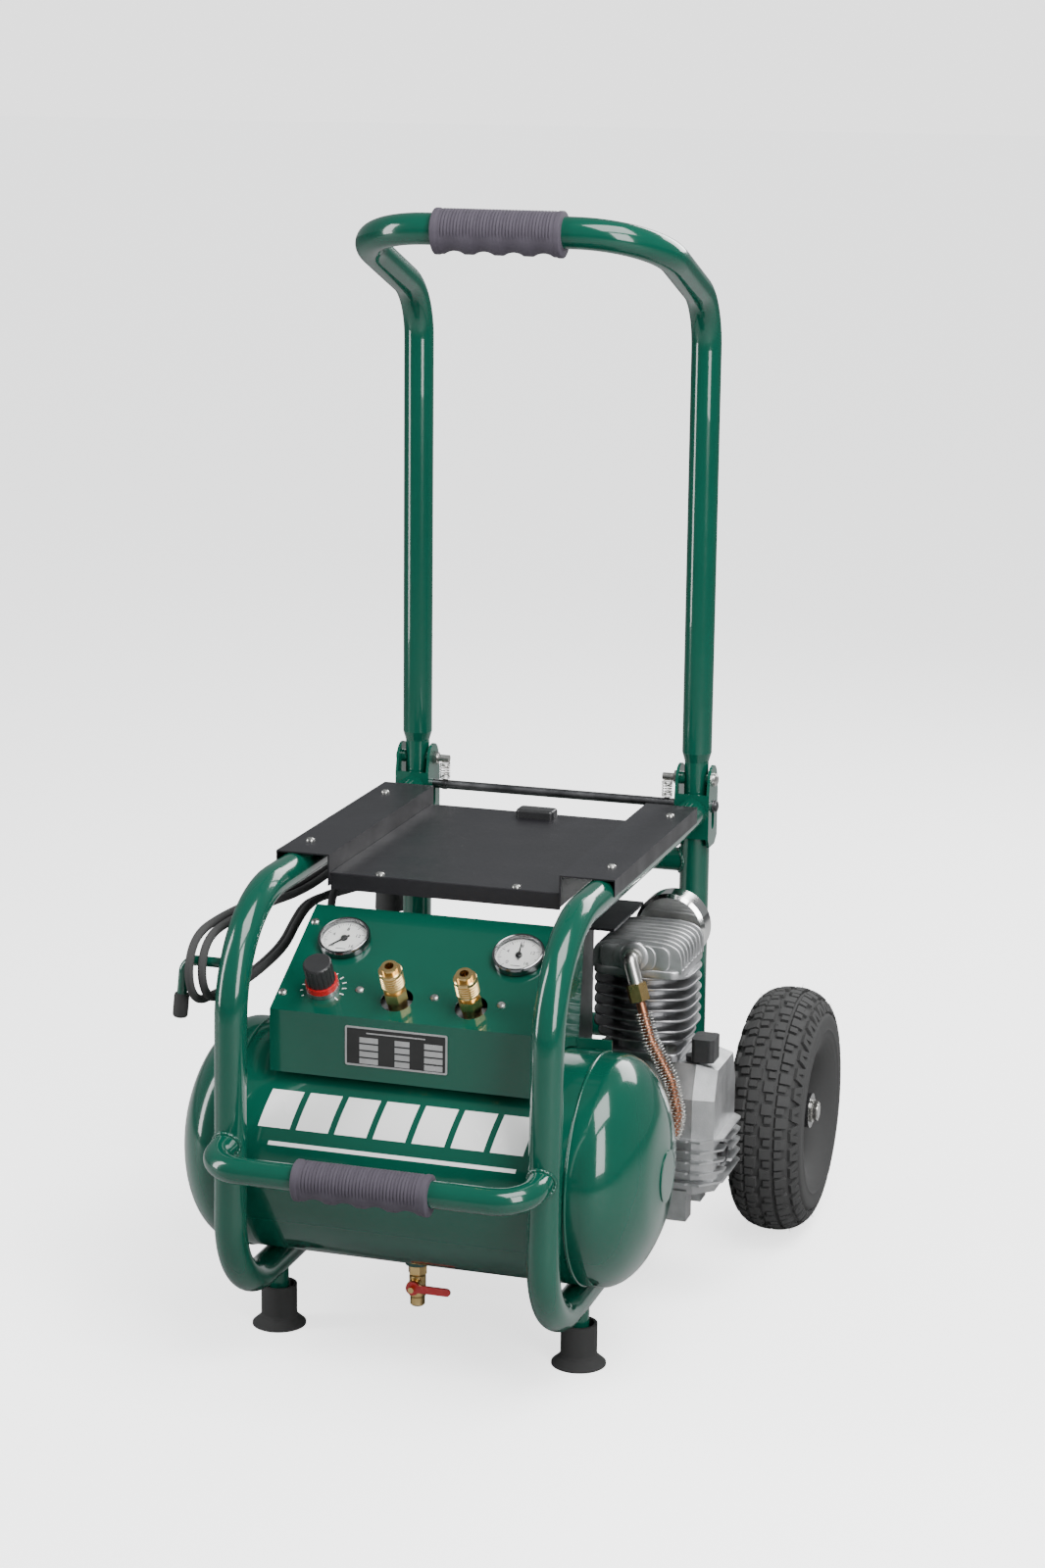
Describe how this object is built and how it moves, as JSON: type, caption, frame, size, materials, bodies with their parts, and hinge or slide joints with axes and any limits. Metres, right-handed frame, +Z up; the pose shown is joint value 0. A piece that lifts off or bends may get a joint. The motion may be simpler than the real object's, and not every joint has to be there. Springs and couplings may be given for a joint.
{
  "type": "wheeled air compressor",
  "caption": "Site air compressor in a bent tube frame with a horizontal tank, belt-free piston pump, gauge panel, tool tray, two pneumatic wheels and a fold-down trolley handle.",
  "frame": {"origin": "on the floor, under the middle of the machine's length and width", "axes": "+Z up, -Y towards the front with the gauges and the lifting bar, +X to the machine's right as seen from the front"},
  "size_m": [0.607, 0.7828, 1.1136],
  "materials": {
    "green_paint": "gloss",
    "black_paint": "satin",
    "grip_rubber": "matt",
    "foot_rubber": "matt",
    "tyre_rubber": "matt",
    "black_rim": "satin",
    "bright_steel": "zinc plated",
    "chrome": "polished",
    "brass": "machined",
    "aluminium": "as cast",
    "cast_iron": "as cast",
    "black_plastic": "matt",
    "red_plastic": "gloss",
    "dial_white": "printed",
    "clear_lens": "clear",
    "needle_black": "matt",
    "cord_rubber": "matt",
    "plate": "printed"
  },
  "bodies": {
    "machine": {"air_filter": "chrome", "axle": "bright_steel", "brass_fittings": "brass", "control_hood": "green_paint", "cord_hooks": "green_paint", "cord_plug": "cord_rubber", "coupler_bodies": "brass", "crankcase": "aluminium", "crankcase_cover": "aluminium", "cylinder": "cast_iron", "cylinder_head": "aluminium", "discharge_elbow": "brass", "discharge_tube": "brass", "drain_valve": "brass", "fan_cowl": "black_paint", "gauge_cases": "chrome", "gauge_dials": "dial_white", "gauge_lenses": "clear_lens", "hinge_brackets": "green_paint", "latch_springs": "bright_steel", "lift_bar": "green_paint", "lift_grip": "grip_rubber", "machine_screws": "bright_steel", "motor_housing": "black_paint", "nameplate": "plate", "oil_filler": "black_plastic", "piston": "aluminium", "pivot_bolts": "bright_steel", "power_cord": "cord_rubber", "pressure_switch": "black_plastic", "pump_bolts": "bright_steel", "rear_cross_tubes": "green_paint", "regulator_lock_ring": "red_plastic", "regulator_manifold": "aluminium", "rubber_feet": "foot_rubber", "side_frame_left": "green_paint", "side_frame_right": "green_paint", "strain_relief": "cord_rubber", "tank_ends": "green_paint", "tank_shell": "green_paint", "tray_catch": "black_plastic", "tray_covers": "black_paint", "tray_pan": "black_paint", "welded_plates": "green_paint"},
    "handle": {"handle_tube": "green_paint", "handle_grip": "grip_rubber"},
    "latch": {"latch_rod": "bright_steel"},
    "wheel_left": {"rim_left": "black_rim", "tyre_left": "tyre_rubber"},
    "wheel_right": {"rim_right": "black_rim", "tyre_right": "tyre_rubber"},
    "drain_lever": {"drain_lever": "red_plastic"},
    "regulator": {"regulator_knob": "black_plastic"},
    "sleeve_left": {"coupler_sleeve_left": "brass"},
    "sleeve_right": {"coupler_sleeve_right": "brass"},
    "tank_needle": {"tank_gauge_needle": "needle_black"},
    "outlet_needle": {"outlet_gauge_needle": "needle_black"},
    "crank": {"crankshaft": "bright_steel", "cooling_fan": "black_plastic"},
    "rod": {"connecting_rod": "aluminium"}
  },
  "joints": [
    {"name": "handle_fold", "type": "hinge", "parent": "machine", "child": "handle", "pos_m": [0, 0.2354, 0.5026], "axis": [1, 0, 0], "range_deg": [0, 85]},
    {"name": "latch_slide", "type": "slide", "parent": "machine", "child": "latch", "axis": [0, 0, -1], "range_m": [0, 0.02], "stiffness_N_per_m": 800, "springref_m": -0.01, "deforming": ["latch_springs"]},
    {"name": "wheel_left_spin", "type": "hinge", "parent": "machine", "child": "wheel_left", "pos_m": [-0.2625, 0.2574, 0.134], "axis": [1, 0, 0], "continuous": true},
    {"name": "wheel_right_spin", "type": "hinge", "parent": "machine", "child": "wheel_right", "pos_m": [0.2625, 0.2574, 0.134], "axis": [1, 0, 0], "continuous": true},
    {"name": "drain_lever_turn", "type": "hinge", "parent": "machine", "child": "drain_lever", "pos_m": [-0.012, -0.1976, 0.06], "axis": [0, 1, 0], "range_deg": [0, 90]},
    {"name": "regulator_turn", "type": "hinge", "parent": "machine", "child": "regulator", "pos_m": [-0.0913, -0.24647, 0.39346], "axis": [0, -0.4882, 0.8727], "range_deg": [-540, 540]},
    {"name": "coupler_left_pull", "type": "slide", "parent": "machine", "child": "sleeve_left", "axis": [0, 0.4882, -0.8727], "range_m": [0, 0.004], "stiffness_N_per_m": 500, "springref_m": -0.002},
    {"name": "coupler_right_pull", "type": "slide", "parent": "machine", "child": "sleeve_right", "axis": [0, 0.4882, -0.8727], "range_m": [0, 0.004], "stiffness_N_per_m": 500, "springref_m": -0.002},
    {"name": "tank_needle_turn", "type": "hinge", "parent": "machine", "child": "tank_needle", "pos_m": [-0.0902, -0.18088, 0.41181], "axis": [0, 0.4882, -0.8727], "range_deg": [0, 270], "stiffness_Nm_per_rad": 0.0005},
    {"name": "outlet_needle_turn", "type": "hinge", "parent": "machine", "child": "outlet_needle", "pos_m": [0.0902, -0.18088, 0.41181], "axis": [0, 0.4882, -0.8727], "range_deg": [-129, 141], "stiffness_Nm_per_rad": 0.0005},
    {"name": "crank_spin", "type": "hinge", "parent": "machine", "child": "crank", "pos_m": [0.165, 0.0284, 0.185], "axis": [1, 0, 0], "continuous": true},
    {"name": "rod_swing", "type": "hinge", "parent": "crank", "child": "rod", "pos_m": [0.165, 0.0284, 0.197], "axis": [1, 0, 0], "continuous": true}
  ],
  "couplings": [
    {"joint": "rod_swing", "follows": "crank_spin", "ratio": -1}
  ]
}
